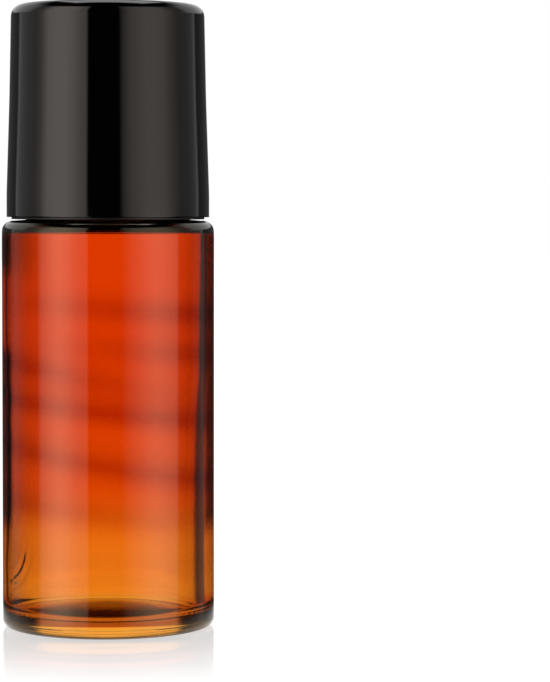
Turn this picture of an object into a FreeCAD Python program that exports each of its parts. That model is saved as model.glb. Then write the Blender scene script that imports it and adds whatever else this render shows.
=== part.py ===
"""Roll-on bottle: a glass bottle, a ball in a pressed-in housing, and a two-piece screw cap.

Millimetres, +Z up. The origin is the middle of the ring that the bottle stands on.
Every piece is turned about the Z axis, and the sizes run outwards from the ball:
ball, housing, neck, cap sleeve, cap shell. The heights are stacked up from the base.
"""

import FreeCAD
import Part
import math
import os

# Glass bottle
body_diameter = 37.0
body_height = 70.95
glass_wall = 2.0
floor_thickness = 3.4
shoulder_thickness = 1.6
shoulder_rise = 0.25
shoulder_round = 1.85
heel_round = 1.5
base_ring_width = 3.6
base_recess_depth = 0.9
base_recess_round = 1.2
cavity_floor_round = 2.0
cavity_top_round = 0.5
neck_height = 13.55
neck_root_round = 0.8
lip_round = 0.5
neck_mouth_round = 1.0

# Roller ball
ball_diameter = 25.4
ball_wall = 2.0
ball_rise = 7.25

# Ball housing, pressed into the neck
socket_clearance = 0.1
cup_wall = 0.9
cup_height_over_ball_middle = 4.6
cup_top_round = 0.7
cup_edge_round = 0.25
cup_groove_depth = 0.45
cup_groove_height = 2.2
flange_thickness = 1.3
seat_wall = 1.0
feed_hole_diameter = 15.0
plug_wall = 1.2
plug_depth = 8.6
plug_lead_in = 0.8
plug_clearance = 0.12
plug_rib_count = 3
plug_rib_height = 0.1
plug_rib_width = 0.7
plug_rib_spacing = 2.0
feed_notch_count = 6
feed_notch_width = 1.6
feed_notch_depth = 1.1

# Screw cap: the threaded sleeve, its sealing disc and the outer shell
thread_depth = 1.0
thread_clearance = 0.2
cup_clearance = 0.4
sleeve_wall = 0.9
sleeve_top_thickness = 1.2
sleeve_step_height = 0.9
sleeve_foot_height = 0.38
sleeve_foot_lap = 0.45
sleeve_round = 0.3
snap_bead_gap = 0.04
snap_bead_width = 0.6
snap_bead_slope = 0.8
snap_bead_inset = 3.2
seal_diameter = 18.0
seal_thickness = 1.2
seal_gap = 0.05
seal_pocket_clearance = 0.1
seal_bead_overlap = 0.35
seal_bead_height = 0.6
seal_ring_wall = 0.9
seal_edge_round = 0.2
shell_wall = 1.3
shell_top_thickness = 1.6
shell_low_gap = 0.2
shell_high_gap = 0.5
shell_band_height = 4.1
shell_waist_inset = 0.1
shell_top_round = 2.1
shell_edge_round = 0.15
shell_inside_round = 0.8
shell_band_blend = 60.0
shell_waist_blend = 250.0
cap_gap = 0.32

# Radii, from the ball outwards
ball_radius = ball_diameter / 2
socket_radius = ball_radius + socket_clearance
cup_radius = socket_radius + cup_wall
neck_radius = cup_radius
plug_radius = math.sqrt((socket_radius + seat_wall) ** 2 - ball_rise**2)
plug_bore_radius = plug_radius - plug_wall
neck_bore_radius = plug_radius + plug_clearance
thread_crest_radius = neck_radius + thread_depth
sleeve_low_bore = thread_crest_radius + thread_clearance
sleeve_low_radius = sleeve_low_bore + sleeve_wall
sleeve_high_bore = cup_radius + cup_clearance
sleeve_high_radius = sleeve_high_bore + sleeve_wall
shell_bore_at_step = sleeve_low_radius + shell_low_gap
shell_bore_at_top = sleeve_high_radius + shell_high_gap
seal_radius = seal_diameter / 2
body_radius = body_diameter / 2
cavity_radius = body_radius - glass_wall

# Heights, from the base upwards
cavity_top = body_height - shoulder_thickness
lip_height = body_height + neck_height
flange_top = lip_height + flange_thickness
plug_bottom = lip_height - plug_depth
ball_middle = lip_height + ball_rise
cup_top = ball_middle + cup_height_over_ball_middle
seal_bottom = ball_middle + ball_radius + seal_gap
sleeve_ceiling = seal_bottom + seal_thickness
sleeve_top = sleeve_ceiling + sleeve_top_thickness
shell_top = sleeve_top + shell_top_thickness
sleeve_bottom = body_height + cap_gap
cap_bottom = sleeve_bottom + sleeve_foot_height
sleeve_step = flange_top + sleeve_step_height
thread_zone_top = sleeve_step - sleeve_wall

# The shell's bore is one straight cone, fixed at the sleeve's step and at its top
shell_taper = (shell_bore_at_step - shell_bore_at_top) / (sleeve_top - sleeve_step)
shell_bore_at_bottom = shell_bore_at_step + shell_taper * (sleeve_step - cap_bottom)
shell_radius_at_bottom = shell_bore_at_bottom + shell_wall
shell_radius_at_top = shell_bore_at_top + shell_wall


def vector(radius, height):
    """A point of an outline, in the XZ plane."""
    return FreeCAD.Vector(radius, 0, height)


def corner_arc(before, corner, after, size):
    """The two ends and the middle of the arc of radius size that rounds a corner."""
    back = (before - corner).normalize()
    ahead = (after - corner).normalize()
    half_angle = back.getAngle(ahead) / 2
    reach = size / math.tan(half_angle)
    inwards = (back + ahead).normalize()
    middle = corner + inwards * (size / math.sin(half_angle) - size)
    return corner + back * reach, middle, corner + ahead * reach


def outline(corners):
    """A closed wire from (radius, height) corners; a third number rounds that corner."""
    points = [vector(*corner[:2]) for corner in corners]
    rounds = [corner[2] if len(corner) > 2 else 0 for corner in corners]
    stretches = []
    for i, point in enumerate(points):
        if rounds[i]:
            after = points[(i + 1) % len(points)]
            stretches.append(corner_arc(points[i - 1], point, after, rounds[i]))
        else:
            stretches.append((point,))
    edges = []
    for i, stretch in enumerate(stretches):
        if len(stretch) == 3:
            edges.append(Part.Arc(*stretch).toShape())
        start = stretch[-1]
        end = stretches[(i + 1) % len(stretches)][0]
        if start.distanceToPoint(end) > Part.Precision.confusion():
            edges.append(Part.LineSegment(start, end).toShape())
    return Part.Wire(edges)


def turned(corners):
    """The solid made by turning an outline once about the Z axis."""
    face = Part.Face(outline(corners))
    return face.revolve(FreeCAD.Vector(0, 0, 0), FreeCAD.Vector(0, 0, 1), 360)


def ball_shape(radius):
    """A sphere about the ball's middle."""
    return Part.makeSphere(radius, vector(0, ball_middle))


def around_axis(shape, count):
    """That many copies of a shape, evenly spaced about the Z axis."""
    copies = []
    for i in range(count):
        copy = shape.copy()
        copy.rotate(FreeCAD.Vector(0, 0, 0), FreeCAD.Vector(0, 0, 1), 360 * i / count)
        copies.append(copy)
    return copies


def radial_bar(inner, outer, width, low, high):
    """An upright bar that reaches out along +X, with its width across."""
    corner = FreeCAD.Vector(inner, -width / 2, low)
    return Part.makeBox(outer - inner, width, high - low, corner)


def glass_bottle():
    """Straight round bottle with a square shoulder, a recessed base and a wide open neck."""
    base_ring_outer = body_radius - heel_round
    base_ring_inner = base_ring_outer - base_ring_width
    recess_radius = base_ring_inner - base_recess_depth
    return turned([
        (0, base_recess_depth),
        (recess_radius, base_recess_depth, base_recess_round),
        (base_ring_inner, 0),
        (body_radius, 0, heel_round),
        (body_radius, body_height, shoulder_round),
        (neck_radius, body_height + shoulder_rise, neck_root_round),
        (neck_radius, lip_height, lip_round),
        (neck_bore_radius, lip_height, lip_round),
        (neck_bore_radius, cavity_top, neck_mouth_round),
        (cavity_radius, cavity_top, cavity_top_round),
        (cavity_radius, floor_thickness, cavity_floor_round),
        (0, floor_thickness),
    ])


def plug_ribs():
    """Rounded sealing rings round the plug, which bear on the neck's bore."""
    reach = plug_radius + plug_rib_height
    rings = []
    for i in range(plug_rib_count):
        middle = lip_height - plug_rib_spacing * (i + 1)
        rings.append(turned([
            (plug_bore_radius, middle - plug_rib_width / 2),
            (reach, middle - plug_rib_width / 2, plug_rib_height),
            (reach, middle + plug_rib_width / 2, plug_rib_height),
            (plug_bore_radius, middle + plug_rib_width / 2),
        ]))
    return rings


def ball_housing():
    """The cup that holds the ball: plug with sealing ribs, flange on the lip, seat and snap edge."""
    groove_radius = cup_radius - cup_groove_depth
    groove_top = flange_top + cup_groove_height
    blank = turned([
        (0, plug_bottom),
        (plug_radius - plug_lead_in / 2, plug_bottom),
        (plug_radius, plug_bottom + plug_lead_in),
        (plug_radius, lip_height),
        (cup_radius, lip_height, cup_edge_round),
        (cup_radius, flange_top, cup_edge_round),
        (groove_radius, flange_top + cup_groove_depth),
        (groove_radius, groove_top),
        (cup_radius, groove_top + cup_groove_depth),
        (cup_radius, cup_top, cup_top_round),
        (0, cup_top),
    ])
    blank = blank.fuse(plug_ribs())
    plug_bore = Part.makeCylinder(plug_bore_radius, plug_depth, vector(0, plug_bottom))
    plug_bore = plug_bore.cut(ball_shape(socket_radius + seat_wall))
    feed_radius = feed_hole_diameter / 2
    feed_hole = Part.makeCylinder(feed_radius, plug_depth, vector(0, plug_bottom))
    notch = radial_bar(0, feed_radius + feed_notch_depth, feed_notch_width, plug_bottom, lip_height)
    notches = around_axis(notch, feed_notch_count)
    return blank.cut([ball_shape(socket_radius), plug_bore, feed_hole] + notches).removeSplitter()


def roller_ball():
    """Hollow moulded ball."""
    return ball_shape(ball_radius).cut(ball_shape(ball_radius - ball_wall))


def cap_seal():
    """The soft disc that presses the ball onto its seat while the cap is on."""
    return turned([
        (0, seal_bottom),
        (seal_radius, seal_bottom, seal_edge_round),
        (seal_radius, sleeve_ceiling, seal_edge_round),
        (0, sleeve_ceiling),
    ])


def shell_bore_radius(height):
    """Radius of the shell's tapered bore at a height."""
    return shell_bore_at_step + shell_taper * (sleeve_step - height)


def snap_bead(skirt_radius, middle):
    """Outline corners of a ring round the sleeve that holds the shell by its bore."""
    crest = shell_bore_radius(middle + snap_bead_width / 2) - snap_bead_gap
    return [
        (skirt_radius, middle - snap_bead_width / 2 - snap_bead_slope),
        (crest, middle - snap_bead_width / 2),
        (crest, middle + snap_bead_width / 2),
        (skirt_radius, middle + snap_bead_width / 2 + snap_bead_slope),
    ]


def cap_sleeve():
    """Inner cap: a foot under the shell, threaded skirt, narrow skirt and the disc's pocket."""
    foot_radius = shell_bore_at_bottom + sleeve_foot_lap
    pocket_radius = seal_radius + seal_pocket_clearance
    bead_radius = seal_radius - seal_bead_overlap
    bead_top = seal_bottom - seal_gap
    bead_bottom = bead_top - seal_bead_height
    ring_radius = pocket_radius + seal_ring_wall
    step_in = sleeve_low_bore - sleeve_high_bore
    step_out = sleeve_low_radius - sleeve_high_radius
    return turned([
        (sleeve_low_bore, sleeve_bottom),
        (foot_radius, sleeve_bottom),
        (foot_radius, cap_bottom),
        (sleeve_low_radius, cap_bottom),
        *snap_bead(sleeve_low_radius, cap_bottom + snap_bead_inset),
        (sleeve_low_radius, sleeve_step),
        (sleeve_high_radius, sleeve_step + step_out),
        *snap_bead(sleeve_high_radius, sleeve_top - snap_bead_inset),
        (sleeve_high_radius, sleeve_top, sleeve_round),
        (0, sleeve_top),
        (0, sleeve_ceiling),
        (pocket_radius, sleeve_ceiling),
        (pocket_radius, bead_top),
        (bead_radius, bead_top - seal_bead_overlap),
        (bead_radius, bead_bottom),
        (ring_radius, bead_bottom, sleeve_round),
        (ring_radius, sleeve_ceiling),
        (sleeve_high_bore, sleeve_ceiling, sleeve_round),
        (sleeve_high_bore, thread_zone_top + step_in),
        (sleeve_low_bore, thread_zone_top),
    ])


def cap_shell():
    """Glossy outer cap: a straight band at the foot, then a slight hollow taper to a round edge."""
    band_top = cap_bottom + shell_band_height
    waist_height = (band_top + shell_top) / 2
    waist_radius = (shell_radius_at_bottom + shell_radius_at_top) / 2 - shell_waist_inset
    return turned([
        (shell_bore_at_bottom, cap_bottom, shell_edge_round),
        (shell_radius_at_bottom, cap_bottom, shell_edge_round),
        (shell_radius_at_bottom, band_top, shell_band_blend),
        (waist_radius, waist_height, shell_waist_blend),
        (shell_radius_at_top, shell_top, shell_top_round),
        (0, shell_top),
        (0, sleeve_top),
        (shell_bore_at_top, sleeve_top, shell_inside_round),
    ])


pieces = {
    "glass_bottle": glass_bottle,
    "ball_housing": ball_housing,
    "roller_ball": roller_ball,
    "cap_seal": cap_seal,
    "cap_sleeve": cap_sleeve,
    "cap_shell": cap_shell,
}

os.makedirs("parts", exist_ok=True)
for name, make in pieces.items():
    shape = make()
    shape.exportStep(f"parts/{name}.step")
    print(name, "solids", len(shape.Solids), "valid", shape.isValid(), "mm3", round(shape.Volume, 1))
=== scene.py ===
"""Amber glass roll-on bottle: the finished surfaces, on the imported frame.

Metres, +Z up. Every piece is a turned surface: an outline of radius and height points carried round the
Z axis on a grid of outline point and angle. The threads, knurls, ripples and notches are waves of height
and angle that are added to that grid.
"""

import math

import bpy
import numpy as np
from mathutils import Matrix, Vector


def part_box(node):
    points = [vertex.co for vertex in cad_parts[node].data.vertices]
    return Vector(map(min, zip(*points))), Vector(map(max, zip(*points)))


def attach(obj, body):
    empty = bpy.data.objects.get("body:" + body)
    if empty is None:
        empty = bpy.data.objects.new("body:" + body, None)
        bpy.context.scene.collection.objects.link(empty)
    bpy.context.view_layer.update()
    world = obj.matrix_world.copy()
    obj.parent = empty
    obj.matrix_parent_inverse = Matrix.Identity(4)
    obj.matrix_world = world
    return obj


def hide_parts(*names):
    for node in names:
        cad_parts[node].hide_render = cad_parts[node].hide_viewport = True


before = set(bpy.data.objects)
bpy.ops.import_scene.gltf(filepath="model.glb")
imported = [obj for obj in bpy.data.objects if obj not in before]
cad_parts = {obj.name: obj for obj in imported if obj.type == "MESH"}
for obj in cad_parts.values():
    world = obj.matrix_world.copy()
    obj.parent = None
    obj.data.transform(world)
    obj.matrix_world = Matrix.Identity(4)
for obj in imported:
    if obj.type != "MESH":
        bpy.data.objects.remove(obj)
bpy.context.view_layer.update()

mm = 0.001
full_turn = 2 * math.pi

# Places and outer sizes, from the frame
_, glass_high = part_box("glass_bottle")
housing_low, housing_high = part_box("ball_housing")
ball_low, ball_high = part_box("roller_ball")
seal_low, seal_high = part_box("cap_seal")
sleeve_low, sleeve_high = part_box("cap_sleeve")
shell_low, shell_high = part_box("cap_shell")

body_radius = glass_high[0]
lip_height = glass_high[2]
cup_radius = housing_high[0]
cup_top = housing_high[2]
plug_bottom = housing_low[2]
ball_radius = (ball_high[2] - ball_low[2]) / 2
ball_middle = (ball_high[2] + ball_low[2]) / 2
seal_radius = seal_high[0]
seal_bottom = seal_low[2]
sleeve_ceiling = seal_high[2]
foot_radius = sleeve_high[0]
sleeve_bottom = sleeve_low[2]
sleeve_top = sleeve_high[2]
shell_radius_at_bottom = shell_high[0]
cap_bottom = shell_low[2]
shell_top = shell_high[2]

# Glass bottle
glass_wall = 2.0 * mm
floor_thickness = 3.4 * mm
shoulder_thickness = 1.6 * mm
shoulder_rise = 0.25 * mm
shoulder_round = 1.85 * mm
heel_round = 1.5 * mm
base_ring_width = 3.6 * mm
base_recess_depth = 0.9 * mm
base_recess_round = 1.2 * mm
cavity_floor_round = 2.0 * mm
cavity_top_round = 0.5 * mm
neck_height = 13.55 * mm
neck_root_round = 0.8 * mm
lip_round = 0.5 * mm
neck_mouth_round = 1.0 * mm
body_height = lip_height - neck_height
cavity_radius = body_radius - glass_wall
ring_outer = body_radius - heel_round
ring_inner = ring_outer - base_ring_width
recess_radius = ring_inner - base_recess_depth
knurl_count = 60
knurl_height = 0.16 * mm
knurl_margin = 0.7 * mm

# Screw thread, one right-handed start on the neck and one in the sleeve
thread_lead = 3.2 * mm
thread_turns = 1.4
thread_start = 3.4 * mm
thread_depth = 1.0 * mm
thread_root_half_width = 0.9 * mm
thread_crest_half_width = 0.35 * mm
thread_fade = math.radians(35)
sleeve_thread_depth = 0.95 * mm
sleeve_thread_turns = 1.2

# Ball housing
socket_clearance = 0.1 * mm
cup_top_round = 0.7 * mm
cup_edge_round = 0.25 * mm
cup_groove_depth = 0.45 * mm
cup_groove_height = 2.2 * mm
flange_thickness = 1.3 * mm
seat_wall = 1.0 * mm
feed_radius = 7.5 * mm
plug_wall = 1.2 * mm
plug_lead_in = 0.8 * mm
plug_clearance = 0.12 * mm
plug_rib_count = 3
plug_rib_height = 0.1 * mm
plug_rib_width = 0.7 * mm
plug_rib_spacing = 2.0 * mm
feed_notch_count = 6
feed_notch_width = 1.6 * mm
feed_notch_depth = 1.1 * mm
feed_notch_edge = 0.25 * mm
flange_top = lip_height + flange_thickness
socket_radius = ball_radius + socket_clearance
seat_radius = socket_radius + seat_wall
plug_radius = math.sqrt(seat_radius**2 - (ball_middle - lip_height) ** 2)
plug_bore_radius = plug_radius - plug_wall
neck_bore_radius = plug_radius + plug_clearance
neck_radius = cup_radius

# Roller ball
ball_seam_depth = 0.03 * mm
ball_seam_width = 0.22 * mm

# Sealing disc
seal_edge_round = 0.2 * mm
seal_dish_depth = 0.12 * mm
seal_dish_radius = 4.0 * mm
seal_dish_flat = 1.6 * mm
seal_play = 0.05 * mm

# Cap sleeve
sleeve_wall = 0.9 * mm
sleeve_step_rise = 0.9 * mm
sleeve_round = 0.3 * mm
sleeve_edge_round = 0.1 * mm
thread_clearance = 0.2 * mm
cup_clearance = 0.4 * mm
pocket_clearance = 0.1 * mm
pocket_bead_overlap = 0.35 * mm
pocket_bead_height = 0.6 * mm
pocket_ring_wall = 0.9 * mm
snap_bead_gap = 0.04 * mm
snap_bead_width = 0.6 * mm
snap_bead_slope = 0.8 * mm
snap_bead_inset = 3.2 * mm
sleeve_low_bore = neck_radius + thread_depth + thread_clearance
sleeve_low_radius = sleeve_low_bore + sleeve_wall
sleeve_high_bore = cup_radius + cup_clearance
sleeve_high_radius = sleeve_high_bore + sleeve_wall
sleeve_step = flange_top + sleeve_step_rise
pocket_radius = seal_radius + pocket_clearance

# Cap shell
shell_wall = 1.3 * mm
shell_band_height = 4.1 * mm
shell_waist_inset = 0.1 * mm
shell_top_round = 2.1 * mm
shell_edge_round = 0.15 * mm
shell_inside_round = 0.8 * mm
shell_band_blend = 60 * mm
shell_waist_blend = 250 * mm
shell_gap_at_step = 0.2 * mm
shell_gap_at_top = 0.5 * mm
shell_bore_at_step = sleeve_low_radius + shell_gap_at_step
shell_bore_at_top = sleeve_high_radius + shell_gap_at_top
shell_bore_at_bottom = shell_radius_at_bottom - shell_wall
shell_radius_at_top = shell_bore_at_top + shell_wall

# Settling rings in the glass, as ripples in the wall with painted shade along them: middle height, fall to
# the right, and strength at the left and at the right
settling_ring_table = np.array([
    (56.0 * mm, 0.06, 0.30, 1.00),
    (49.2 * mm, 0.07, 0.00, 0.90),
    (43.6 * mm, 0.18, 1.00, 0.10),
    (38.5 * mm, 0.11, 0.90, 0.95),
    (29.3 * mm, 0.17, 0.85, 0.90),
    (21.0 * mm, 0.10, 0.70, 0.40),
    (12.5 * mm, 0.05, 0.20, 0.20),
])
ring_half_height = 2.3 * mm
ring_depth = 0.05 * mm
ring_share_at_back = 0.2
ring_back_fade = (-0.3 * body_radius, 0.3 * body_radius)
# Uneven wall: height, and how far the cavity reaches further out at the left and at the right
uneven_wall_table = np.array([
    (0.0, 0.7, -0.5),
    (10.0, 0.8, -0.6),
    (16.0, 0.6, -0.6),
    (22.0, 0.4, -0.6),
    (31.0, 0.4, -0.55),
    (38.0, 0.55, -0.4),
    (46.0, 0.75, -0.2),
    (56.0, 0.8, -0.15),
    (71.0, 0.65, -0.1),
]) * mm
# Lumps in the left wall: height, half height and depth
wall_lump_table = np.array([
    (46.2, 2.2, 0.15),
    (40.0, 2.2, 0.15),
]) * mm
# Bulge of the inside floor: how far its middle stands over the mean floor, and its edge under the middle
floor_bulge_rise = 0.24 * mm
floor_bulge_drop = 0.90 * mm
# Folds in the inner wall at the lower left: nested arcs below and to the right of a middle
fold_angle = math.radians(200)
fold_height = 15 * mm
fold_width = 4.6 * mm
fold_drop = 5.6 * mm
fold_depth = 0.14 * mm
fold_spacing = 0.35
fold_band_start = (0.7, 0.9)
fold_band_end = (1.3, 1.55)
fold_fade = 0.3
fold_rows_top = 17 * mm
# Radii between which the wall's waves set in
wall_waves_start = (0.3 * cavity_radius, 0.85 * cavity_radius)

# Longest step along each outline, rows of the arcs and columns round the axis
body_grid = 1.2 * mm
neck_grid = 0.25 * mm
cavity_grid = 1.0 * mm
fold_grid = 0.4 * mm
housing_grid = 0.5 * mm
seal_grid = 0.3 * mm
sleeve_grid = 0.4 * mm
shell_grid = 1.0 * mm
socket_rows = 40
seat_rows = 12
ball_rows = 97
seam_rows = 21
seam_zone = 0.01
columns_per_knurl = 4
housing_columns = 288
ball_columns = 192
seal_columns = 144
sleeve_columns = 180
shell_columns = 288
shortest_step = 0.002 * mm
settle_share = 0.3
settle_length = 0.1 * mm
sharp_edge = math.radians(35)
# How near a row lies to the surface that its wave belongs to
on_base = 0.1 * mm
on_neck_wall = 0.05 * mm
on_bore_wall = 0.02 * mm

# Look of the glass: amber tint with painted shade by height, and the masks of painted shade and light that
# change it
white = (1, 1, 1)
full_white = (1, 1, 1, 1)
glass_index = 1.52
gloss_tint = (1.0, 0.95, 0.68, 1.0)
# Colours of painted shade: along the settling rings, on the front of the base and at the upper left
ring_shade = (0.37, 0.09, 0.08, 1)
base_painted_shade = (0.97, 0.33, 0.15, 1)
upper_left_shade = (0.5, 0.5, 0.5, 1)
wall_top = body_height - shoulder_round
# Amber tint by height with painted shade: darker up the wall, near black over the shoulder, palest at the
# base
tint_and_shade_by_height = (
    (0.0 * mm, (1.00, 0.42, 0.035)),
    (1.8 * mm, (1.00, 0.38, 0.028)),
    (2.6 * mm, (1.00, 0.27, 0.014)),
    (7.1 * mm, (1.00, 0.23, 0.010)),
    (11.4 * mm, (1.00, 0.21, 0.008)),
    (17.0 * mm, (0.98, 0.17, 0.005)),
    (22.7 * mm, (0.88, 0.073, 0.001)),
    (35.5 * mm, (0.86, 0.056, 0.0006)),
    (51.0 * mm, (0.85, 0.047, 0.0005)),
    (wall_top - 0.12 * mm, (0.86, 0.050, 0.0005)),
    (wall_top + 0.12 * mm, (0.05, 0.006, 0.0005)),
    (body_height - 0.3 * mm, (0.004, 0.0015, 0.0005)),
    (body_height + 1.5 * mm, (0.008, 0.0015, 0.0005)),
    (body_height + 3.0 * mm, (0.55, 0.09, 0.003)),
)
front_fade = (-0.3 * body_radius, 0.1 * body_radius)
left_fade = (-0.95 * body_radius, -0.48 * body_radius)
# Painted shade on the front of the base between these heights, where the table under the bottle is unlit
base_shade_foot = (1.9 * mm, 2.5 * mm)
base_shade_head = (5.0 * mm, 7.0 * mm)
# Painted shade at the upper left of the glass, from these heights up
upper_left_shade_foot = (57 * mm, 66 * mm)
# Painted light strip along the left edge of the glass, between these heights
painted_light_strip_foot = (47 * mm, 51 * mm)
painted_light_strip_head = (60 * mm, 64 * mm)
# Heights over which the edges go from the pale to the dark painted shade
dark_edge_foot = (15 * mm, 20 * mm)
# Painted shade at the edges: share of the light that is left as the surface turns away from the eye
dark_edges = ((0.0, 1.0), (0.3, 0.72), (0.5, 0.5), (0.57, 0.42), (0.61, 0.06), (0.65, 0.02), (0.76, 0.01))
pale_edges = ((0.0, 1.0), (0.3, 0.72), (0.5, 0.5), (0.6, 0.45), (0.8, 0.4))
glass_haze = ((0.3, 0.98), (0.7, 1.0))
outer_haze_scale = 60.0
inner_haze_scale = 120.0
glass_speck_scale = 700.0
glass_speck_share = 0.05
glass_speck_roughness = 0.12
matt_floor_head = (floor_thickness + 1 * mm, floor_thickness + 4 * mm)
matt_floor_roughness = 0.12

# Plastics: colour, lowest and highest roughness, and the fine relief
cap_colour = (0.0012, 0.0012, 0.0013)
cap_roughness = (0.045, 0.075)
cap_haze_scale = 45.0
cap_speck_share = 0.03
cap_index = 1.5
housing_colour = (0.84, 0.84, 0.81)
housing_roughness = (0.34, 0.46)
housing_haze_scale = 110.0
housing_grain_scale = 3500.0
housing_grain_depth = 0.006 * mm
housing_glow_depth = 0.8 * mm
housing_glow_share = 0.25
housing_glow_spread = (1.0, 0.95, 0.85)
ball_colour = (0.88, 0.88, 0.86)
ball_roughness = (0.16, 0.26)
ball_haze_scale = 130.0
ball_grain_scale = 1800.0
ball_grain_depth = 0.002 * mm
sleeve_colour = (0.02, 0.02, 0.021)
sleeve_roughness = (0.3, 0.42)
sleeve_haze_scale = 90.0
sleeve_grain_scale = 2600.0
sleeve_grain_depth = 0.004 * mm
foam_cell_scale = 2600.0
foam_cell_depth = 0.06 * mm
# Painted shade in the foam's dimples: grey levels from each cell's middle outwards
foam_dimple_shade = ((0.0, 0.80), (0.6, 0.92))
foam_roughness = 0.75
darkest_haze = 0.86
lightest_haze = 1.06
dust_scale = 800.0
dust_roughness = 0.08
haze_detail = 6.0
grain_detail = 3.0

# Table top
floor_half_width = 3.0
floor_paint = (0.35, 0.35, 0.35)
floor_glow = 0.74
# Extra glow of a painted pool of light on the table near the bottle, seen in reflections and through the
# glass
painted_light_pool_level = 0.08
floor_glow_in_view = 0.88
# Width of the edge of the painted shadow under the bottle
painted_shadow_edge = 2 * mm
mirror_share = 0.35
mirror_reach = 80 * mm
mirror_roughness = 0.06
flag_distance = 60 * mm
near_floor = 20 * mm

# Soft boxes and backdrop: (degrees round from the camera, level)
left_box_tint = (1, 0.89, 0.83)
right_box_tint = (1, 0.88, 0.80)
tinted_within = 100
backdrop_window = (
    (-180, 1.0), (-152, 1.0), (-147, 0.03), (-110, 0.03), (-60, 0.1), (-20, 0.0),
    (20, 0.0), (60, 0.1), (110, 0.03), (147, 0.03), (152, 1.0), (180, 1.0),
)
upper_boxes = (
    (-180, 1.0), (-172, 1.0), (-170, 0.1), (-130, 0.1), (-127, 0.65), (-121, 0.45), (-107, 0.4),
    (-92, 0.45), (-84, 0.75), (-73, 1.9), (-62, 2.2), (-50, 2.25), (-40, 1.85), (-31, 1.3), (-25, 1.1),
    (-23, 0.0), (13, 0.0), (17, 0.42), (26, 0.92), (36, 1.17), (46, 1.36), (57, 1.33), (67, 1.17), (78, 0.7),
    (90, 0.36), (105, 0.28), (117, 0.35), (123, 0.6), (126, 0.08), (170, 0.1), (172, 1.0), (180, 1.0),
)
lower_boxes = (
    (-180, 0.05), (-134, 0.02), (-128, 0.12), (-119, 0.27), (-107, 0.13), (-94, 0.04), (-82, 0.1),
    (-78, 0.95), (-66, 1.9), (-56, 2.5), (-46, 2.2), (-37, 1.4), (-28, 1.0), (-23, 0.9), (-21, 0.0),
    (13, 0.0), (16, 0.12), (25, 0.6), (34, 1.0), (43, 1.5), (53, 1.85), (62, 1.7), (73, 1.3), (79, 1.05),
    (83, 0.12), (97, 0.02), (111, 0.12), (123, 0.3), (130, 0.08), (140, 0.02), (180, 0.02),
)
# Where a light sets in or ends, as the Z of its unit direction; for rear_start, the Y
boxes_meet = (-0.0135, -0.0095)
box_head = (0.6, 0.75)
backdrop_head = (0.09, 0.19)
backdrop_head_loss = 0.9
rear_start = (0.0, 0.4)
rear_foot = (0.12, 0.2)
rear_head = (0.6, 0.8)
rear_level_in_gloss = 0.9
rear_level_on_paint = 0.7
# Overhead light, on a ceiling one unit up
overhead_front = (-0.02, 0.06)
overhead_back = (0.65, 0.8)
overhead_side = (0.36, 0.44)
overhead_shift = 0.03
overhead_level = 2.5
least_rise = 0.001

# Camera, worked out from the photograph
eye_distance = 495 * mm
eye_height = 74.6 * mm
picture_height_px = 682
focal_length_px = 2826
sensor_mm = 36
nearest_seen = 10 * mm
look_down = math.radians(2.85)
look_right = math.radians(3.38)
camera_roll = math.radians(0.08)


def rounded(corners, steps=10):
    """Outline points from (radius, height) corners; a third number is the radius of an arc that rounds one.

    The arc touches both sides of the corner: its middle lies on the bisector, at the radius divided by
    the sine of the half angle, and its ends at the radius divided by the tangent of the half angle. A
    point just past each end keeps the shading of the straight side straight.
    """
    places = np.array([corner[:2] for corner in corners])
    stretches = []
    for i, corner in enumerate(corners):
        place = places[i]
        size = corner[2] if len(corner) > 2 else 0
        if not size:
            stretches.append(place[None])
            continue
        back = places[i - 1] - place
        ahead = places[i + 1] - place
        back /= np.linalg.norm(back)
        ahead /= np.linalg.norm(ahead)
        half = math.acos(np.clip(back @ ahead, -1, 1)) / 2
        inwards = (back + ahead) / np.linalg.norm(back + ahead)
        middle = place + inwards * size / math.sin(half)
        start = place + back * size / math.tan(half) - middle
        end = place + ahead * size / math.tan(half) - middle
        share = np.linspace(0, 1, steps + 1)[:, None]
        sweep = math.acos(np.clip(start @ end / size**2, -1, 1))
        arc = (np.sin((1 - share) * sweep) * start + np.sin(share * sweep) * end) / math.sin(sweep)
        settle = min(settle_share * size, settle_length)
        stretches.append((middle + start + settle * back)[None])
        stretches.append(middle + arc)
        stretches.append((middle + end + settle * ahead)[None])
    return np.concatenate(stretches)


def divided(outline, spacing):
    """The same outline with even points added, so that none are further apart than spacing."""
    lengths = np.linalg.norm(np.diff(outline, axis=0), axis=1)
    outline = outline[np.concatenate(([True], lengths > shortest_step))]
    steps = np.diff(outline, axis=0)
    counts = np.ceil(np.linalg.norm(steps, axis=1) / spacing).astype(int)
    number = np.repeat(np.arange(len(counts)), counts)
    first = np.repeat(np.cumsum(counts) - counts, counts)
    share = (np.arange(len(number)) - first) / counts[number]
    return np.concatenate((outline[number] + share[:, None] * steps[number], outline[-1:]))


def angles(columns):
    """That many even steps round the axis."""
    return np.arange(columns) * full_turn / columns


def smooth_step(value, low, high):
    """0 below low, 1 above high, and an S-shaped rise between them."""
    share = np.clip((value - low) / (high - low), 0, 1)
    return share * share * (3 - 2 * share)


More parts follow.
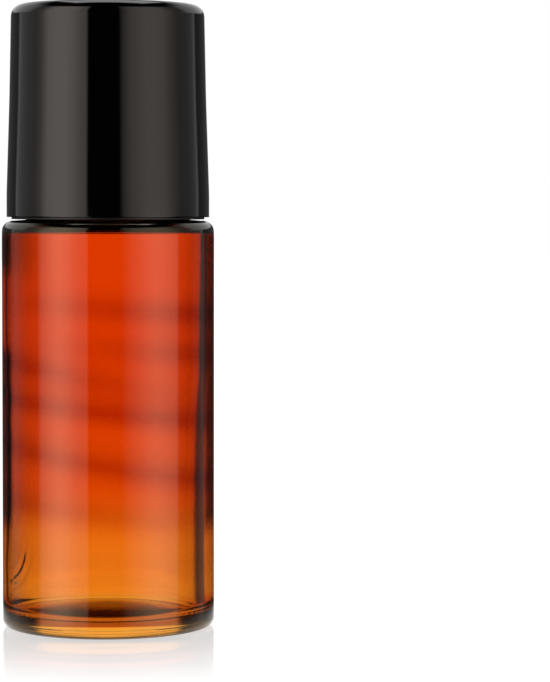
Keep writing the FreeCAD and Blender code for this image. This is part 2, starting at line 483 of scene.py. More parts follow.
def turned_piece(name, radius, height, body, node, material, closed=False):
    """A mesh piece from grids of radius and height: rows follow the outline and columns go round the axis.

    A point is (radius cos angle, radius sin angle, height). The outline runs with the material on its
    left, so faces point outwards. A row of radius 0 becomes one pole. A closed outline joins its last
    row to its first.
    """
    columns = radius.shape[1]
    angle = angles(columns)
    starts_at_pole = not closed and radius[0].max() == 0
    ends_at_pole = not closed and radius[-1].max() == 0
    rows = slice(1 if starts_at_pole else 0, -1 if ends_at_pole else None)
    grid = np.stack((radius * np.cos(angle), radius * np.sin(angle), height), -1)[rows]
    number = np.arange(grid.shape[0] * columns).reshape(-1, columns)
    following = np.roll(number, -1, axis=0) if closed else number[1:]
    lower = number if closed else number[:-1]
    corners = (lower, np.roll(lower, -1, axis=1), np.roll(following, -1, axis=1), following)
    faces = np.stack(corners, -1).reshape(-1, 4).tolist()
    points = grid.reshape(-1, 3).tolist()
    if starts_at_pole:
        ring = number[0]
        fan = np.stack((np.full(columns, len(points)), np.roll(ring, -1), ring), -1)
        points.append((0, 0, height[0, 0]))
        faces += fan.tolist()
    if ends_at_pole:
        ring = number[-1]
        fan = np.stack((ring, np.roll(ring, -1), np.full(columns, len(points))), -1)
        points.append((0, 0, height[-1, 0]))
        faces += fan.tolist()
    mesh = bpy.data.meshes.new(name)
    mesh.from_pydata(points, [], faces)
    mesh.polygons.foreach_set("use_smooth", np.ones(len(faces), dtype=bool))
    mesh.set_sharp_from_angle(angle=sharp_edge)
    mesh.materials.append(material)
    piece = bpy.data.objects.new(name, mesh)
    bpy.context.scene.collection.objects.link(piece)
    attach(piece, body)
    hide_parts(node)
    return piece


def round_axis(outline, columns):
    """Grids of radius and height for an outline that is the same at every angle."""
    return np.repeat(outline[:, :1], columns, 1), np.repeat(outline[:, 1:], columns, 1)


def thread_ridge(height, angle, start, turns):
    """Height share, 0 to 1, of a helical ridge.

    The ridge's middle climbs by one lead in a turn. Across it, the share falls from 1 at the crest to 0
    at the root in an S-shape, and along it, both ends fade out over a few degrees.
    """
    ridge = np.zeros(np.broadcast(height, angle).shape)
    for turn in range(math.ceil(turns)):
        wound = angle + full_turn * turn
        off = np.abs(height - start - thread_lead * wound / full_turn)
        across = 1 - smooth_step(off, thread_crest_half_width, thread_root_half_width)
        length = full_turn * turns
        along = smooth_step(wound, 0, thread_fade) * (1 - smooth_step(wound, length - thread_fade, length))
        ridge = np.maximum(ridge, across * along)
    return ridge


def uneven_wall(angle, height):
    """How far the cavity's wall lies outside its true circle.

    The table's values are joined by S-shaped steps of height; the left one fades with the square of the
    cosine from the left side to the middle, and the right one likewise. Lumps are bell curves of height
    that fade with the cosine's eighth power.
    """
    place, left, right = uneven_wall_table.T
    after = np.clip(np.searchsorted(place, height), 1, len(place) - 1)
    share = smooth_step(height, place[after - 1], place[after])
    left = left[after - 1] + share * (left[after] - left[after - 1])
    right = right[after - 1] + share * (right[after] - right[after - 1])
    middle, half_height, depth = wall_lump_table.T
    lumps = (depth * np.exp(-(((height[..., None] - middle) / half_height) ** 2))).sum(-1)
    across = np.cos(angle)
    return np.where(across < 0, left - lumps * across**6, right) * across**2


def fold_waves(angle, height):
    """How far the folds push the cavity's wall outwards.

    A sine of the distance from the folds' middle, in widths and drops, fades in and out over one band of
    that distance and is left out above the middle and to its left.
    """
    across = cavity_radius * (angle - fold_angle) / fold_width
    down = (fold_height - height) / fold_drop
    reach = np.hypot(across, down)
    zone = smooth_step(reach, *fold_band_start) * (1 - smooth_step(reach, *fold_band_end))
    quarter = smooth_step(across, 0, fold_fade) * smooth_step(down, 0, fold_fade)
    return fold_depth * np.sin(full_turn * reach / fold_spacing) * zone * quarter


def settling_rings(x, y, height):
    """Sum of bell curves in height, one for each ring.

    Each ring falls from left to right, its strength goes from its left to its right value across the
    body, and it weakens towards the back.
    """
    middle, slope, left, right = settling_ring_table.T
    across = np.clip(0.5 + x / (2 * body_radius), 0, 1)[..., None]
    off = (height[..., None] + slope * x[..., None] - middle) / ring_half_height
    rings = ((left + (right - left) * across) * np.exp(-off**2)).sum(-1)
    return rings * (1 - (1 - ring_share_at_back) * smooth_step(y, *ring_back_fade))


def add_node(tree, kind, inputs=(), **settings):
    """A new node; inputs maps a socket's name or number to a value or to the socket that feeds it."""
    node = tree.nodes.new(kind)
    for name, value in settings.items():
        setattr(node, name, value)
    for socket, value in dict(inputs).items():
        if isinstance(value, bpy.types.NodeSocket):
            tree.links.new(value, node.inputs[socket])
        else:
            node.inputs[socket].default_value = value
    return node


def calc(tree, operation, *values):
    """The result socket of a Math node."""
    return add_node(tree, "ShaderNodeMath", enumerate(values), operation=operation).outputs[0]


def rise(tree, value, low, high):
    """The result socket of a smooth step from 0 at low to 1 at high."""
    inputs = {"Value": value, "From Min": low, "From Max": high}
    return add_node(tree, "ShaderNodeMapRange", inputs, interpolation_type="SMOOTHSTEP").outputs[0]


def fall(tree, value, low, high):
    """The result socket of a smooth step from 1 at low to 0 at high."""
    return calc(tree, "SUBTRACT", 1.0, rise(tree, value, low, high))


def between(tree, value, foot, head):
    """The result socket of a band: it rises between the foot's two places and falls between the head's."""
    return calc(tree, "MULTIPLY", rise(tree, value, *foot), fall(tree, value, *head))


def ramp(tree, value, stops):
    """The colour socket of a ramp with (place, colour) stops; a colour may be one grey number."""
    node = add_node(tree, "ShaderNodeValToRGB", {"Fac": value})
    elements = node.color_ramp.elements
    for i, (place, colour) in enumerate(stops):
        element = elements[i] if i < 2 else elements.new(place)
        element.position = place
        element.color = (*np.broadcast_to(colour, 3), 1)
    return node.outputs["Color"]


def mix_colour(tree, share, first, second):
    """The colour socket that goes from first to second as share goes from 0 to 1."""
    inputs = {0: share, 6: first, 7: second}
    return add_node(tree, "ShaderNodeMix", inputs, data_type="RGBA").outputs[2]


def multiply_colours(tree, first, *others):
    """The colour socket of the product of colours."""
    for other in others:
        inputs = {0: first, 1: other}
        first = add_node(tree, "ShaderNodeVectorMath", inputs, operation="MULTIPLY").outputs[0]
    return first


def brighter(tree, first, second):
    """The colour socket of the brighter of two lights, channel by channel."""
    inputs = {0: first, 1: second}
    return add_node(tree, "ShaderNodeVectorMath", inputs, operation="MAXIMUM").outputs[0]


def own_place(tree):
    """The socket of a place in the piece's own coordinates."""
    return tree.nodes.new("ShaderNodeTexCoord").outputs["Object"]


def split_place(tree, place):
    """The X, Y and Z sockets of a place."""
    split = add_node(tree, "ShaderNodeSeparateXYZ", {0: place}).outputs
    return split["X"], split["Y"], split["Z"]


def new_material(name):
    """A node material; returns it with its tree and its Principled BSDF."""
    material = bpy.data.materials.new(name)
    material.use_nodes = True
    tree = material.node_tree
    return material, tree, tree.nodes["Principled BSDF"]


def surface_wear_group():
    """Node group: fine cloudy haze and sparse specks of dust, in the piece's own coordinates."""
    group = bpy.data.node_groups.new("surface_wear", "ShaderNodeTree")
    for name in ("Haze Scale", "Speck Scale", "Speck Share"):
        group.interface.new_socket(name, in_out="INPUT", socket_type="NodeSocketFloat")
    for name in ("Haze", "Specks"):
        group.interface.new_socket(name, in_out="OUTPUT", socket_type="NodeSocketFloat")
    given = group.nodes.new("NodeGroupInput").outputs
    place = own_place(group)
    noise = {"Vector": place, "Scale": given["Haze Scale"], "Detail": haze_detail}
    haze = add_node(group, "ShaderNodeTexNoise", noise).outputs["Fac"]
    cells = {"Vector": place, "Scale": given["Speck Scale"]}
    to_cell = add_node(group, "ShaderNodeTexVoronoi", cells).outputs["Distance"]
    result = group.nodes.new("NodeGroupOutput").inputs
    group.links.new(haze, result["Haze"])
    group.links.new(calc(group, "LESS_THAN", to_cell, given["Speck Share"]), result["Specks"])
    return group


surface_wear = surface_wear_group()


def add_wear(tree, haze_scale, speck_scale, speck_share):
    """The wear group placed in a material; returns its haze and speck sockets."""
    inputs = {"Haze Scale": haze_scale, "Speck Scale": speck_scale, "Speck Share": speck_share}
    node = add_node(tree, "ShaderNodeGroup", inputs, node_tree=surface_wear)
    return node.outputs["Haze"], node.outputs["Specks"]


def add_bump(tree, height, distance):
    """The normal socket of a bump of that depth, in metres."""
    inputs = {"Height": height, "Distance": distance, "Strength": 1.0}
    return add_node(tree, "ShaderNodeBump", inputs).outputs[0]


def amber_outside():
    """Outer face of the glass: an amber tint with painted shade, near black over the shoulder and palest at
    the base.

    The tint of the height is deepened by painted shade on the front of the base, along the settling rings,
    at the upper left and towards the edges, which darken as the surface turns away from the eye; the edges
    stay paler near the base and along a painted light strip at the left.
    """
    material, tree, shader = new_material("amber_glass")
    x, y, height = split_place(tree, own_place(tree))
    stops = [(float(level / lip_height), colour) for level, colour in tint_and_shade_by_height]
    # amber tint with painted shade by height
    tint_and_shade = ramp(tree, calc(tree, "DIVIDE", height, float(lip_height)), stops)
    # painted shade along the settling rings
    rings = add_node(tree, "ShaderNodeAttribute", attribute_name="ring").outputs["Fac"]
    ring_shaded = mix_colour(tree, rings, full_white, ring_shade)
    # painted shade on the front of the base
    base_shade_band = between(tree, height, base_shade_foot, base_shade_head)
    base_front_shade = calc(tree, "MULTIPLY", fall(tree, y, *front_fade), base_shade_band)
    base_shaded = mix_colour(tree, base_front_shade, full_white, base_painted_shade)
    on_left = fall(tree, x, *left_fade)
    # painted shade at the upper left
    upper_left_shade_mask = calc(tree, "MULTIPLY", on_left, rise(tree, height, *upper_left_shade_foot))
    upper_left_shaded = mix_colour(tree, upper_left_shade_mask, full_white, upper_left_shade)
    # painted shade at the edges, as the surface turns away from the eye
    facing = add_node(tree, "ShaderNodeLayerWeight", {"Blend": 0.5}).outputs["Facing"]
    # painted light strip along the left edge
    painted_light_strip = between(tree, height, painted_light_strip_foot, painted_light_strip_head)
    painted_light_strip = calc(tree, "MULTIPLY", on_left, painted_light_strip)
    darkened = calc(tree, "SUBTRACT", rise(tree, height, *dark_edge_foot), painted_light_strip)
    edges = mix_colour(tree, darkened, ramp(tree, facing, pale_edges), ramp(tree, facing, dark_edges))
    haze, specks = add_wear(tree, outer_haze_scale, glass_speck_scale, glass_speck_share)
    depth = ramp(tree, haze, glass_haze)
    tint = multiply_colours(tree, tint_and_shade, base_shaded, ring_shaded, upper_left_shaded, edges, depth)
    tree.links.new(tint, shader.inputs["Base Color"])
    tree.links.new(calc(tree, "MULTIPLY", specks, glass_speck_roughness), shader.inputs["Roughness"])
    shader.inputs["Specular Tint"].default_value = gloss_tint
    shader.inputs["Transmission Weight"].default_value = 1.0
    shader.inputs["IOR"].default_value = glass_index
    return material


def amber_inside():
    """Inner face of the glass: clear, under the outer face's tint and painted shade, and slightly matt near
    the floor.
    """
    material, tree, shader = new_material("amber_glass_inside")
    haze, _ = add_wear(tree, inner_haze_scale, glass_speck_scale, glass_speck_share)
    tree.links.new(ramp(tree, haze, glass_haze), shader.inputs["Base Color"])
    _, _, height = split_place(tree, own_place(tree))
    near_base = fall(tree, height, *matt_floor_head)
    tree.links.new(calc(tree, "MULTIPLY", near_base, matt_floor_roughness), shader.inputs["Roughness"])
    shader.inputs["Transmission Weight"].default_value = 1.0
    shader.inputs["IOR"].default_value = glass_index
    return material


def moulded_plastic(name, colour, roughness, haze_scale, grain_scale=0.0, grain_depth=0.0, speck_share=0.06):
    """Moulded plastic: colour and gloss drift with the haze, dust specks are matt, and grain is a bump."""
    material, tree, shader = new_material(name)
    haze, specks = add_wear(tree, haze_scale, dust_scale, speck_share)
    darker = (*(darkest_haze * np.array(colour)), 1)
    lighter = (*np.minimum(lightest_haze * np.array(colour), 1), 1)
    tree.links.new(mix_colour(tree, haze, darker, lighter), shader.inputs["Base Color"])
    low, high = roughness
    gloss = calc(tree, "MULTIPLY_ADD", haze, high - low, low)
    gloss = calc(tree, "MULTIPLY_ADD", specks, dust_roughness, gloss)
    tree.links.new(gloss, shader.inputs["Roughness"])
    if grain_depth:
        noise = {"Vector": own_place(tree), "Scale": grain_scale, "Detail": grain_detail}
        grain = add_node(tree, "ShaderNodeTexNoise", noise).outputs["Fac"]
        tree.links.new(add_bump(tree, grain, grain_depth), shader.inputs["Normal"])
    return material, shader


def cap_black():
    """Piano-black cap: near black under a hard gloss, with a faint haze and a little dust."""
    material, shader = moulded_plastic(
        "cap_black", cap_colour, cap_roughness, cap_haze_scale, speck_share=cap_speck_share
    )
    shader.inputs["IOR"].default_value = cap_index
    return material


def housing_plastic():
    """Natural polyethylene: milky, satin and slightly translucent."""
    material, shader = moulded_plastic(
        "housing_plastic", housing_colour, housing_roughness, housing_haze_scale,
        housing_grain_scale, housing_grain_depth,
    )
    shader.inputs["Subsurface Weight"].default_value = housing_glow_share
    shader.inputs["Subsurface Radius"].default_value = housing_glow_spread
    shader.inputs["Subsurface Scale"].default_value = housing_glow_depth
    return material


def foam_cells():
    """White closed-cell foam: each cell is a small dimple, with painted shade towards its middle."""
    material, tree, shader = new_material("seal_foam")
    cells = {"Vector": own_place(tree), "Scale": foam_cell_scale}
    to_cell = add_node(tree, "ShaderNodeTexVoronoi", cells).outputs["Distance"]
    tree.links.new(ramp(tree, to_cell, foam_dimple_shade), shader.inputs["Base Color"])
    tree.links.new(add_bump(tree, to_cell, foam_cell_depth), shader.inputs["Normal"])
    shader.inputs["Roughness"].default_value = foam_roughness
    return material


def glass_bottle():
    """The bottle: outer face from the base's middle to the lip, then the inner face down to its floor.

    Waves on the outline: cosine knurls on the bearing ring and a helical ridge on the neck. Inside, the
    floor falls from its middle with the cosine of the squared radius, and the wall has an uneven
    thickness, settling rings and folds.
    """
    outside = rounded([
        (0, base_recess_depth),
        (recess_radius, base_recess_depth, base_recess_round),
        (ring_inner, 0),
        (body_radius, 0, heel_round),
        (body_radius, body_height, shoulder_round),
        (neck_radius, body_height + shoulder_rise, neck_root_round),
        (neck_radius, lip_height, lip_round),
        (neck_bore_radius, lip_height),
    ])
    inside = rounded([
        (neck_radius, lip_height),
        (neck_bore_radius, lip_height, lip_round),
        (neck_bore_radius, body_height - shoulder_thickness, neck_mouth_round),
        (cavity_radius, body_height - shoulder_thickness, cavity_top_round),
        (cavity_radius, fold_rows_top),
        (cavity_radius, floor_thickness, cavity_floor_round),
        (0, floor_thickness),
    ], steps=16)
    neck_from = np.argmax(outside[:, 1] > body_height + shoulder_rise + neck_root_round / 2)
    outside = np.concatenate((
        divided(outside[:neck_from], body_grid),
        divided(outside[neck_from - 1:-1], neck_grid)[1:],
    ))
    folds_from = np.argmax((inside[:, 1] == fold_rows_top) & (inside[:, 0] == cavity_radius))
    inside = np.concatenate((
        divided(inside[1:folds_from + 1], cavity_grid),
        divided(inside[folds_from:], fold_grid)[1:],
    ))
    columns = columns_per_knurl * knurl_count
    radius, height = round_axis(np.concatenate((outside, inside)), columns)
    angle = angles(columns)
    outer_rows = np.arange(len(radius))[:, None] < len(outside)

    on_ring = outer_rows * (height < on_base)
    on_ring = on_ring * smooth_step(radius, ring_inner, ring_inner + knurl_margin)
    on_ring = on_ring * (1 - smooth_step(radius, ring_outer - knurl_margin, ring_outer))
    height = height + knurl_height * on_ring * (1 - np.cos(knurl_count * angle)) / 2

    on_neck = outer_rows * (np.abs(radius - neck_radius) < on_neck_wall)
    ridge = thread_ridge(height, angle, body_height + thread_start, thread_turns)
    radius = radius + thread_depth * ridge * on_neck

    in_cavity = ~outer_rows * (height < body_height - shoulder_thickness / 2)
    corner_top = floor_thickness + cavity_floor_round
    low_rows = in_cavity * (1 - smooth_step(height, corner_top, fold_height))
    reach = np.minimum(radius / (cavity_radius - cavity_floor_round), 1)
    bulge = floor_bulge_rise - floor_bulge_drop * (1 - np.cos(math.pi * reach**2)) / 2
    height = height + bulge * low_rows

    rings = settling_rings(radius * np.cos(angle), radius * np.sin(angle), height)
    near_wall = in_cavity * smooth_step(radius, *wall_waves_start)
    outwards = uneven_wall(angle, height) + fold_waves(angle, height) - ring_depth * rings
    radius = radius + outwards * near_wall

    piece = turned_piece(
        "bottle_glass", radius, height, "bottle", "glass_bottle", amber_outside()
    )
    mesh = piece.data
    mesh.materials.append(amber_inside())
    inner_quads = np.arange(len(mesh.polygons)) >= (len(outside) - 1) * columns
    fans = np.arange(len(mesh.polygons)) >= len(mesh.polygons) - 2 * columns
    inner_quads[fans] = np.arange(2 * columns) >= columns
    mesh.polygons.foreach_set("material_index", inner_quads.astype(np.int32))
    place = np.empty(3 * len(mesh.vertices), dtype=np.float32)
    mesh.vertices.foreach_get("co", place)
    place = place.reshape(-1, 3)
    # Painted shade along the settling rings, read by the outer face's material
    tint_and_shade = mesh.attributes.new("ring", "FLOAT", "POINT")
    tint_and_shade.data.foreach_set("value", settling_rings(*place.T).astype(np.float32))
    return piece


def ball_housing():
    """The cup: plug, flange, groove and snap edge as one outline, then the socket and the seat as arcs.

    The arcs end at the feed hole's edge, whose radius grows by the notch depth in each notch.
    """
    angle = angles(housing_columns)
    groove_radius = cup_radius - cup_groove_depth
    groove_top = flange_top + cup_groove_height
    snap_radius = math.sqrt(socket_radius**2 - (cup_top - ball_middle) ** 2)
    rib_reach = plug_radius + plug_rib_height
    ribs = []
    for i in reversed(range(plug_rib_count)):
        middle = lip_height - plug_rib_spacing * (i + 1)
        ribs += [
            (plug_radius, middle - plug_rib_width / 2),
            (rib_reach, middle - plug_rib_width / 4, plug_rib_height),
            (rib_reach, middle + plug_rib_width / 4, plug_rib_height),
            (plug_radius, middle + plug_rib_width / 2),
        ]
    outside = divided(rounded([
        (plug_bore_radius, plug_bottom),
        (plug_radius - plug_lead_in / 2, plug_bottom),
        (plug_radius, plug_bottom + plug_lead_in),
        *ribs,
        (plug_radius, lip_height),
        (cup_radius, lip_height, cup_edge_round),
        (cup_radius, flange_top, cup_edge_round),
        (groove_radius, flange_top + cup_groove_depth, cup_edge_round),
        (groove_radius, groove_top, cup_edge_round),
        (cup_radius, groove_top + cup_groove_depth, cup_edge_round),
        (cup_radius, cup_top, cup_top_round),
        (snap_radius, cup_top),
    ], steps=6), housing_grid)
    notch_turn = full_turn / feed_notch_count
    to_notch = (angle + notch_turn / 2) % notch_turn - notch_turn / 2
    across = np.abs(feed_radius * to_notch)
    half_width = feed_notch_width / 2
    in_notch = 1 - smooth_step(across, half_width - feed_notch_edge, half_width + feed_notch_edge)
    feed_edge = feed_radius + feed_notch_depth * in_notch
    share = np.linspace(0, 1, socket_rows)[1:, None]
    snap_angle = math.asin((cup_top - ball_middle) / socket_radius)
    turn = snap_angle + share * (-np.arccos(feed_edge / socket_radius) - snap_angle)
    socket = socket_radius * np.cos(turn), ball_middle + socket_radius * np.sin(turn)
    first = -np.arccos(feed_edge / seat_radius)
    last = -math.acos(plug_bore_radius / seat_radius)
    turn = first + np.linspace(0, 1, seat_rows)[:, None] * (last - first)
    seat = seat_radius * np.cos(turn), ball_middle + seat_radius * np.sin(turn)
    outer = round_axis(outside, housing_columns)
    radius = np.concatenate((outer[0], socket[0], seat[0]))
    height = np.concatenate((outer[1], socket[1], seat[1]))
    return turned_piece(
        "housing", radius, height, "bottle", "ball_housing", housing_plastic(),
        closed=True,
    )


def roller_ball():
    """A sphere with a fine parting line: a shallow groove round its middle."""
    even = np.linspace(-0.5, 0.5, ball_rows)
    near_seam = np.linspace(-seam_zone, seam_zone, seam_rows)
    lift = np.unique(np.concatenate((even, near_seam))) * math.pi
    groove = np.exp(-((ball_radius * lift / (ball_seam_width / 2)) ** 2))
    reach = ball_radius - ball_seam_depth * groove
    outline = np.stack((reach * np.cos(lift), ball_middle + reach * np.sin(lift)), 1)
    outline[[0, -1], 0] = 0
    radius, height = round_axis(outline, ball_columns)
    material, _ = moulded_plastic(
        "ball_plastic", ball_colour, ball_roughness, ball_haze_scale, ball_grain_scale, ball_grain_depth
    )
    return turned_piece("ball", radius, height, "ball", "roller_ball", material)


def cap_seal():
    """The disc, with a shallow dish in its lower face where the ball presses."""
    outline = divided(rounded([
        (0, seal_bottom),
        (seal_radius, seal_bottom, seal_edge_round),
        (seal_radius, sleeve_ceiling, seal_edge_round),
        (0, sleeve_ceiling),
    ]), seal_grid)
    radius, height = round_axis(outline, seal_columns)
    below = height < (seal_bottom + sleeve_ceiling) / 2
    dish = 1 - smooth_step(radius, seal_dish_flat, seal_dish_radius)
    height = height + seal_dish_depth * dish * below
    return turned_piece("seal_disc", radius, height, "cap_seal", "cap_seal", foam_cells())


def shell_bore_radius(height):
    """The shell's bore, a straight cone fixed at the sleeve's step and top."""
    taper = (shell_bore_at_step - shell_bore_at_top) / (sleeve_top - sleeve_step)
    return shell_bore_at_step + taper * (sleeve_step - height)


def snap_bead(skirt_radius, middle):
    """Outline corners of a ring round the sleeve that holds the shell by its bore."""
    crest = shell_bore_radius(middle + snap_bead_width / 2) - snap_bead_gap
    return [
        (skirt_radius, middle - snap_bead_width / 2 - snap_bead_slope, sleeve_round),
        (crest, middle - snap_bead_width / 2, sleeve_edge_round),
        (crest, middle + snap_bead_width / 2, sleeve_edge_round),
        (skirt_radius, middle + snap_bead_width / 2 + snap_bead_slope, sleeve_round),
    ]


def cap_sleeve():
    """The inner cap, from the ceiling's middle down the bore, round the foot and up the outside.

    Its thread is the neck's helix shifted by half a lead, as a ridge that reaches inwards from the bore.
    """
    thread_zone_top = sleeve_step - sleeve_wall
    bead_radius = seal_radius - pocket_bead_overlap
    bead_top = seal_bottom - seal_play
    ring_radius = pocket_radius + pocket_ring_wall
    outline = divided(rounded([
        (0, sleeve_ceiling),
        (pocket_radius, sleeve_ceiling),
        (pocket_radius, bead_top),
        (bead_radius, bead_top - pocket_bead_overlap, sleeve_edge_round),
        (bead_radius, bead_top - pocket_bead_height, sleeve_edge_round),
        (ring_radius, bead_top - pocket_bead_height, sleeve_round),
        (ring_radius, sleeve_ceiling),
        (sleeve_high_bore, sleeve_ceiling, sleeve_round),
        (sleeve_high_bore, thread_zone_top + sleeve_low_bore - sleeve_high_bore, sleeve_round),
        (sleeve_low_bore, thread_zone_top, sleeve_round),
        (sleeve_low_bore, sleeve_bottom, sleeve_edge_round),
        (foot_radius, sleeve_bottom, sleeve_edge_round),
        (foot_radius, cap_bottom, sleeve_edge_round),
        (sleeve_low_radius, cap_bottom, sleeve_edge_round),
        *snap_bead(sleeve_low_radius, cap_bottom + snap_bead_inset),
        (sleeve_low_radius, sleeve_step, sleeve_round),
        (sleeve_high_radius, sleeve_step + sleeve_low_radius - sleeve_high_radius, sleeve_round),
        *snap_bead(sleeve_high_radius, sleeve_top - snap_bead_inset),
        (sleeve_high_radius, sleeve_top, sleeve_round),
        (0, sleeve_top),
    ], steps=5), sleeve_grid)
    radius, height = round_axis(outline, sleeve_columns)
    start = body_height + thread_start + thread_lead / 2
    ridge = thread_ridge(height, angles(sleeve_columns), start, sleeve_thread_turns)
    on_bore = np.abs(radius - sleeve_low_bore) < on_bore_wall
    radius = radius - sleeve_thread_depth * ridge * on_bore
    material, _ = moulded_plastic(
        "sleeve_plastic", sleeve_colour, sleeve_roughness, sleeve_haze_scale,
        sleeve_grain_scale, sleeve_grain_depth,
    )
    return turned_piece("cap_inner", radius, height, "cap", "cap_sleeve", material)


def cap_shell():
    """The outer cap: a straight band at the foot, a slight hollow taper and a round top edge."""
    band_top = cap_bottom + shell_band_height
    waist_height = (band_top + shell_top) / 2
    waist_radius = (shell_radius_at_bottom + shell_radius_at_top) / 2 - shell_waist_inset
    outline = divided(rounded([
        (0, sleeve_top),
        (shell_bore_at_top, sleeve_top, shell_inside_round),
        (shell_bore_at_bottom, cap_bottom, shell_edge_round),
        (shell_radius_at_bottom, cap_bottom, shell_edge_round),
        (shell_radius_at_bottom, band_top, shell_band_blend),
        (waist_radius, waist_height, shell_waist_blend),
        (shell_radius_at_top, shell_top, shell_top_round),
        (0, shell_top),
    ], steps=16), shell_grid)
    radius, height = round_axis(outline, shell_columns)
    return turned_piece("cap_outer", radius, height, "cap", "cap_shell", cap_black())


def azimuth_share(tree, x, y):
    """The socket of the heading: 0.5 towards the camera, 0.75 to its right, 0 and 1 behind."""
    heading = calc(tree, "ARCTAN2", x, calc(tree, "MULTIPLY", y, -1.0))
    return calc(tree, "MULTIPLY_ADD", heading, 1 / full_turn, 0.5)


def box_table(tree, share, boxes, left_tint=white, right_tint=white):
    """The colour socket of soft boxes: (degrees, level) stops of the azimuth, 0 towards the camera.

    The tints colour the boxes beside the camera; further round than a right angle the light is white.
    """
    brightest = max(level for _, level in boxes)
    stops = []
    for place, level in boxes:
        tint = left_tint if place < 0 else right_tint
        tint = np.array(tint if abs(place) < tinted_within else white)
        stops.append((place / 360 + 0.5, level / brightest * tint))
    return multiply_colours(tree, ramp(tree, share, stops), (brightest, brightest, brightest))


def studio_floor():
    """Pale glossy table top: white where it is looked at, with a painted shadow under the bottle and a
    painted pool of light near it, its mirror fading out.

    Through the glass it ends at the dark flags, as the backdrop does; in reflections it ends near the
    bottle.
    """
    half = floor_half_width
    corners = [(-half, -half, 0), (half, -half, 0), (half, half, 0), (-half, half, 0)]
    mesh = bpy.data.meshes.new("floor")
    mesh.from_pydata(corners, [], [(0, 1, 2, 3)])
    floor = bpy.data.objects.new("floor", mesh)
    bpy.context.scene.collection.objects.link(floor)
    material = bpy.data.materials.new("table_top")
    material.use_nodes = True
    tree = material.node_tree
    tree.nodes.clear()
    place = own_place(tree)
    x, y, _ = split_place(tree, place)
    away = add_node(tree, "ShaderNodeVectorMath", {0: place}, operation="LENGTH").outputs["Value"]
    light = tree.nodes.new("ShaderNodeLightPath").outputs
    mirrored, through_glass = light["Is Glossy Ray"], light["Is Transmission Ray"]

    window = box_table(tree, azimuth_share(tree, x, y), backdrop_window)
    window = calc(tree, "MAXIMUM", window, fall(tree, away, flag_distance, 2 * flag_distance))
    shown = mix_colour(tree, through_glass, full_white, window)
    paint = multiply_colours(tree, shown, floor_paint)
    paint = add_node(tree, "ShaderNodeBsdfDiffuse", {"Color": paint}).outputs[0]

    # painted pool of light near the bottle
    painted_light_pool = fall(tree, away, flag_distance, 4 * flag_distance)
    seen = calc(tree, "MULTIPLY_ADD", painted_light_pool, painted_light_pool_level, floor_glow)
    seen = calc(tree, "MULTIPLY", calc(tree, "MAXIMUM", mirrored, through_glass), seen)
    seen = calc(tree, "MULTIPLY_ADD", light["Is Camera Ray"], floor_glow_in_view, seen)
    # painted shadow: the glow is taken away under the bottle
    clear = rise(tree, away, recess_radius, recess_radius + painted_shadow_edge)
    glow = {"Color": shown, "Strength": calc(tree, "MULTIPLY", seen, clear)}
    glow = add_node(tree, "ShaderNodeEmission", glow).outputs[0]
    surface = add_node(tree, "ShaderNodeAddShader", {0: paint, 1: glow}).outputs[0]

    mirror = {"Color": full_white, "Roughness": mirror_roughness}
    mirror = add_node(tree, "ShaderNodeBsdfGlossy", mirror).outputs[0]
    share = calc(tree, "MULTIPLY", fall(tree, away, body_radius, mirror_reach), mirror_share)
    surface = add_node(tree, "ShaderNodeMixShader", {0: share, 1: surface, 2: mirror}).outputs[0]
    gone = calc(tree, "MULTIPLY", mirrored, rise(tree, away, near_floor, 2 * near_floor))
    gap = tree.nodes.new("ShaderNodeBsdfTransparent").outputs[0]
    surface = add_node(tree, "ShaderNodeMixShader", {0: gone, 1: surface, 2: gap}).outputs[0]
    add_node(tree, "ShaderNodeOutputMaterial", {"Surface": surface})
    mesh.materials.append(material)


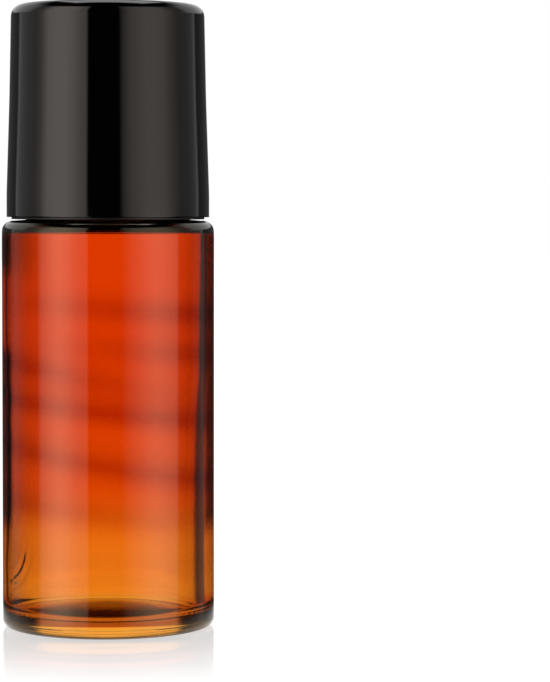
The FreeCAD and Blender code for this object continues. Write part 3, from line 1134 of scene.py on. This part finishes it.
def studio_world():
    """Soft boxes left and right of the camera, a light over the back, dark flags beside a white backdrop.

    Radiance is a table of the azimuth, 0 towards the camera and positive to the right. The upper table
    lights the cap; below eye level the boxes are narrower.
    """
    world = bpy.data.worlds.new("studio")
    bpy.context.scene.world = world
    world.use_nodes = True
    tree = world.node_tree
    tree.nodes.clear()
    x, y, z = split_place(tree, tree.nodes.new("ShaderNodeTexCoord").outputs["Generated"])
    share = azimuth_share(tree, x, y)
    upper = box_table(tree, share, upper_boxes, left_box_tint, right_box_tint)
    upper = multiply_colours(tree, upper, fall(tree, z, *box_head))
    lower = box_table(tree, share, lower_boxes, left_box_tint, right_box_tint)
    boxes = mix_colour(tree, rise(tree, z, *boxes_meet), lower, upper)

    up = calc(tree, "MAXIMUM", z, least_rise)
    back = calc(tree, "DIVIDE", y, up)
    aside = calc(tree, "SUBTRACT", calc(tree, "DIVIDE", x, up), overhead_shift)
    aside = calc(tree, "ABSOLUTE", aside)
    over = between(tree, back, overhead_front, overhead_back)
    over = calc(tree, "MULTIPLY", over, fall(tree, aside, *overhead_side))
    over = calc(tree, "MULTIPLY", over, overhead_level)

    behind = rise(tree, y, *rear_start)
    rear = calc(tree, "MULTIPLY", behind, between(tree, z, rear_foot, rear_head))
    rear = calc(tree, "MULTIPLY", rear, rear_level_in_gloss)
    for_gloss = brighter(tree, boxes, calc(tree, "MAXIMUM", over, rear))
    rear = calc(tree, "MULTIPLY", behind, rear_level_on_paint)
    for_paint = brighter(tree, upper, calc(tree, "MAXIMUM", over, rear))
    window = box_table(tree, share, backdrop_window)
    loss = calc(tree, "MULTIPLY", rise(tree, z, *backdrop_head), backdrop_head_loss)
    for_glass = multiply_colours(tree, window, calc(tree, "SUBTRACT", 1.0, loss))

    light = tree.nodes.new("ShaderNodeLightPath").outputs
    level = mix_colour(tree, light["Is Glossy Ray"], for_paint, for_gloss)
    level = mix_colour(tree, light["Is Transmission Ray"], level, for_glass)
    level = mix_colour(tree, light["Is Camera Ray"], level, full_white)
    backdrop = add_node(tree, "ShaderNodeBackground", {"Color": level, "Strength": 1.0})
    add_node(tree, "ShaderNodeOutputWorld", {"Surface": backdrop.outputs[0]})


def picture_camera():
    """The photograph's eye: level with the shoulder, half a metre away, the bottle left of the middle."""
    data = bpy.data.cameras.new("camera")
    data.sensor_width = sensor_mm
    data.lens = focal_length_px / picture_height_px * sensor_mm
    data.clip_start = nearest_seen
    camera = bpy.data.objects.new("camera", data)
    bpy.context.scene.collection.objects.link(camera)
    turn = Matrix.Rotation(-look_right, 4, "Z")
    tip = Matrix.Rotation(math.pi / 2 - look_down, 4, "X")
    roll = Matrix.Rotation(camera_roll, 4, "Z")
    camera.matrix_world = Matrix.Translation((0, -eye_distance, eye_height)) @ turn @ tip @ roll
    bpy.context.scene.camera = camera


glass_bottle()
ball_housing()
roller_ball()
cap_seal()
cap_sleeve()
cap_shell()
studio_floor()
studio_world()
picture_camera()
bpy.context.scene.view_settings.view_transform = "Standard"
